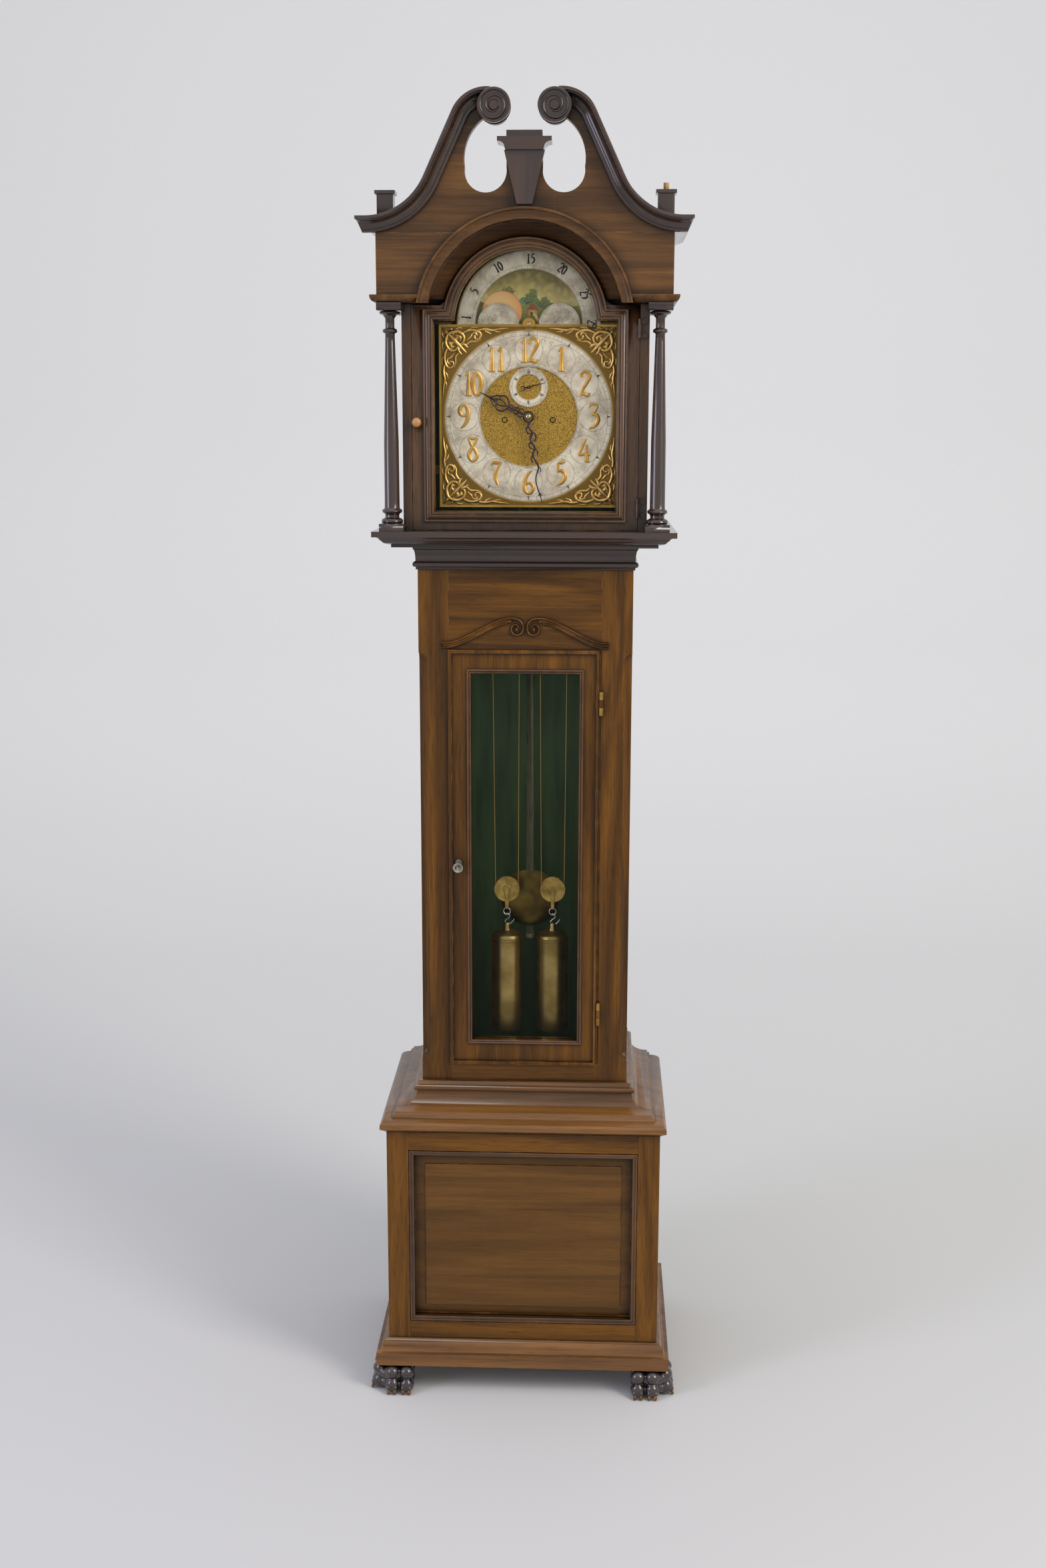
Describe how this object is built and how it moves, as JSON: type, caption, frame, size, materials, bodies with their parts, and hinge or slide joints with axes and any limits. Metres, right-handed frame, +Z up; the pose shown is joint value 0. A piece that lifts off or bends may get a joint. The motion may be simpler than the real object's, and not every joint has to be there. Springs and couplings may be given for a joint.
{
  "type": "longcase clock",
  "caption": "Longcase clock: swan-neck pediment, arched hood with moon dial, glazed trunk door, weights, pendulum and striking movement in a mahogany case on paw feet.",
  "frame": {"origin": "centre of the clock's footprint on the floor, at the bottom of the feet", "axes": "+X to the right of the dial, -Y out of the front, +Z up"},
  "size_m": [0.567, 0.396, 2.286],
  "materials": {
    "mahogany": "stained and waxed, satin",
    "carved_mahogany": "stained dark, worn at the claws",
    "green_backboard": "dark green paint, matt",
    "pine": "raw",
    "bare_dowel": "raw",
    "brass": "lacquered, slightly dulled",
    "movement_brass": "polished",
    "silvered_brass": "silvered and engraved",
    "nickel": "nickel plated, worn",
    "steel": "blued or polished",
    "glass": "clear, old",
    "painted_disc": "hand painted landscape",
    "pale_knob": "turned horn, polished",
    "rod_wood": "varnished",
    "cable": "twisted brass wire"
  },
  "bodies": {
    "case": {"base_frame": "mahogany", "base_panel": "mahogany", "base_carcass": "mahogany", "plinth_moulding": "mahogany", "feet": "carved_mahogany", "base_top_moulding": "mahogany", "backboard": "green_backboard", "trunk_frame": "mahogany", "trunk_sides": "mahogany", "trunk_scroll": "mahogany", "trunk_top_moulding": "mahogany", "seat_board": "pine", "trunk_hinges": "brass", "dial_plate": "brass", "moon_arch": "silvered_brass", "chapter_ring": "silvered_brass", "numerals": "brass", "spandrels": "brass", "movement_plates": "movement_brass", "movement_pillars": "movement_brass", "gong": "steel"},
    "hood": {"hood_base": "mahogany", "hood_carcass": "mahogany", "hood_front": "mahogany", "hood_frieze": "mahogany", "pediment_board": "mahogany", "cornice": "mahogany", "keystone": "mahogany", "finial_blocks": "mahogany", "finial_peg": "bare_dowel", "colonnettes": "mahogany"},
    "hood_door": {"hood_door": "mahogany", "hood_glass": "glass", "hood_knob": "pale_knob"},
    "trunk_door": {"trunk_door": "mahogany", "trunk_glass": "glass", "door_lock": "nickel"},
    "door_key": {"door_key": "nickel"},
    "minute_work": {"centre_wheel": "movement_brass", "minute_hand": "steel"},
    "hour_work": {"hour_hand": "steel"},
    "third_wheel": {"third_wheel": "movement_brass"},
    "escape_work": {"escape_wheel": "movement_brass", "seconds_hand": "steel"},
    "going_great_wheel": {"going_great_wheel": "movement_brass"},
    "strike_great_wheel": {"strike_great_wheel": "movement_brass"},
    "pin_wheel": {"pin_wheel": "movement_brass"},
    "going_drum": {"going_drum": "movement_brass"},
    "strike_drum": {"strike_drum": "movement_brass"},
    "pallets": {"pallets": "steel"},
    "pendulum": {"pendulum_rod": "rod_wood", "pendulum_bob": "brass"},
    "hammer": {"hammer": "steel"},
    "moon_disc": {"moon_disc": "painted_disc"},
    "going_weight": {"going_weight": "brass", "going_cable": "cable"},
    "strike_weight": {"strike_weight": "brass", "strike_cable": "cable"},
    "going_pulley": {"going_pulley": "brass"},
    "strike_pulley": {"strike_pulley": "brass"}
  },
  "joints": [
    {"name": "hood_slide", "type": "slide", "parent": "case", "child": "hood", "axis": [0, -1, 0], "range_m": [0, 0.2]},
    {"name": "hood_door_hinge", "type": "hinge", "parent": "hood", "child": "hood_door", "pos_m": [0.1905, -0.1291, 1.77], "axis": [0, 0, 1], "range_deg": [0, 90]},
    {"name": "trunk_door_hinge", "type": "hinge", "parent": "case", "child": "trunk_door", "pos_m": [0.133, -0.106, 0.995], "axis": [0, 0, 1], "range_deg": [0, 110]},
    {"name": "key_turn", "type": "hinge", "parent": "trunk_door", "child": "door_key", "pos_m": [-0.118, -0.11, 0.98746], "axis": [0, 1, 0], "range_deg": [0, 90]},
    {"name": "minute_turn", "type": "hinge", "parent": "case", "child": "minute_work", "pos_m": [0.0045, -0.06, 1.7725], "axis": [0, 1, 0], "continuous": true},
    {"name": "hour_turn", "type": "hinge", "parent": "case", "child": "hour_work", "pos_m": [0.0045, -0.08, 1.7725], "axis": [0, 1, 0], "continuous": true},
    {"name": "third_turn", "type": "hinge", "parent": "case", "child": "third_wheel", "pos_m": [0.01749, -0.03, 1.80021], "axis": [0, 1, 0], "continuous": true},
    {"name": "escape_turn", "type": "hinge", "parent": "case", "child": "escape_work", "pos_m": [0.0045, -0.03, 1.8218], "axis": [0, 1, 0], "continuous": true},
    {"name": "going_wheel_turn", "type": "hinge", "parent": "case", "child": "going_great_wheel", "pos_m": [0.0455, -0.03, 1.767], "axis": [0, 1, 0], "continuous": true},
    {"name": "strike_wheel_turn", "type": "hinge", "parent": "case", "child": "strike_great_wheel", "pos_m": [-0.0365, -0.03, 1.767], "axis": [0, 1, 0], "continuous": true},
    {"name": "pin_wheel_turn", "type": "hinge", "parent": "case", "child": "pin_wheel", "pos_m": [-0.04368, -0.03, 1.80774], "axis": [0, 1, 0], "continuous": true},
    {"name": "going_weight_travel", "type": "slide", "parent": "case", "child": "going_weight", "axis": [0, 0, 1], "range_m": [-0.5, 0.62], "deforming": ["going_cable"]},
    {"name": "strike_weight_travel", "type": "slide", "parent": "case", "child": "strike_weight", "axis": [0, 0, 1], "range_m": [-0.5, 0.62], "deforming": ["strike_cable"]},
    {"name": "going_drum_turn", "type": "hinge", "parent": "case", "child": "going_drum", "pos_m": [0.0455, -0.03, 1.767], "axis": [0, 1, 0], "range_deg": [-2500, 2500]},
    {"name": "strike_drum_turn", "type": "hinge", "parent": "case", "child": "strike_drum", "pos_m": [-0.0365, -0.03, 1.767], "axis": [0, 1, 0], "range_deg": [-2500, 2500]},
    {"name": "going_pulley_turn", "type": "hinge", "parent": "going_weight", "child": "going_pulley", "pos_m": [0.0485, -0.0265, 0.925], "axis": [0, 1, 0], "range_deg": [-1750, 1750]},
    {"name": "strike_pulley_turn", "type": "hinge", "parent": "strike_weight", "child": "strike_pulley", "pos_m": [-0.0355, -0.0265, 0.925], "axis": [0, 1, 0], "range_deg": [-1750, 1750]},
    {"name": "pendulum_swing", "type": "hinge", "parent": "case", "child": "pendulum", "pos_m": [0.0045, 0.0355, 1.8725], "axis": [0, 1, 0], "range_deg": [-2, 2]},
    {"name": "pallets_rock", "type": "hinge", "parent": "case", "child": "pallets", "pos_m": [0.0045, -0.02, 1.8725], "axis": [0, 1, 0], "range_deg": [-2, 2]},
    {"name": "hammer_lift", "type": "hinge", "parent": "case", "child": "hammer", "pos_m": [-0.0575, 0.02, 1.8345], "axis": [0, 1, 0], "range_deg": [-20, 0], "stiffness_Nm_per_rad": 0.1, "springref_deg": 11.46},
    {"name": "moon_turn", "type": "hinge", "parent": "case", "child": "moon_disc", "pos_m": [0.0045, -0.0825, 1.925], "axis": [0, 1, 0], "continuous": true}
  ],
  "couplings": [
    {"joint": "hour_turn", "follows": "minute_turn", "ratio": 0.083333},
    {"joint": "third_turn", "follows": "minute_turn", "ratio": -7.5},
    {"joint": "escape_turn", "follows": "minute_turn", "ratio": 60},
    {"joint": "going_wheel_turn", "follows": "minute_turn", "ratio": -0.083333},
    {"joint": "pin_wheel_turn", "follows": "strike_wheel_turn", "ratio": -12},
    {"joint": "going_drum_turn", "follows": "going_weight_travel", "rad_per_m": -68.493},
    {"joint": "strike_drum_turn", "follows": "strike_weight_travel", "rad_per_m": 68.493},
    {"joint": "going_pulley_turn", "follows": "going_weight_travel", "rad_per_m": -47.847},
    {"joint": "strike_pulley_turn", "follows": "strike_weight_travel", "rad_per_m": 47.847},
    {"joint": "pallets_rock", "follows": "pendulum_swing", "ratio": 1}
  ]
}
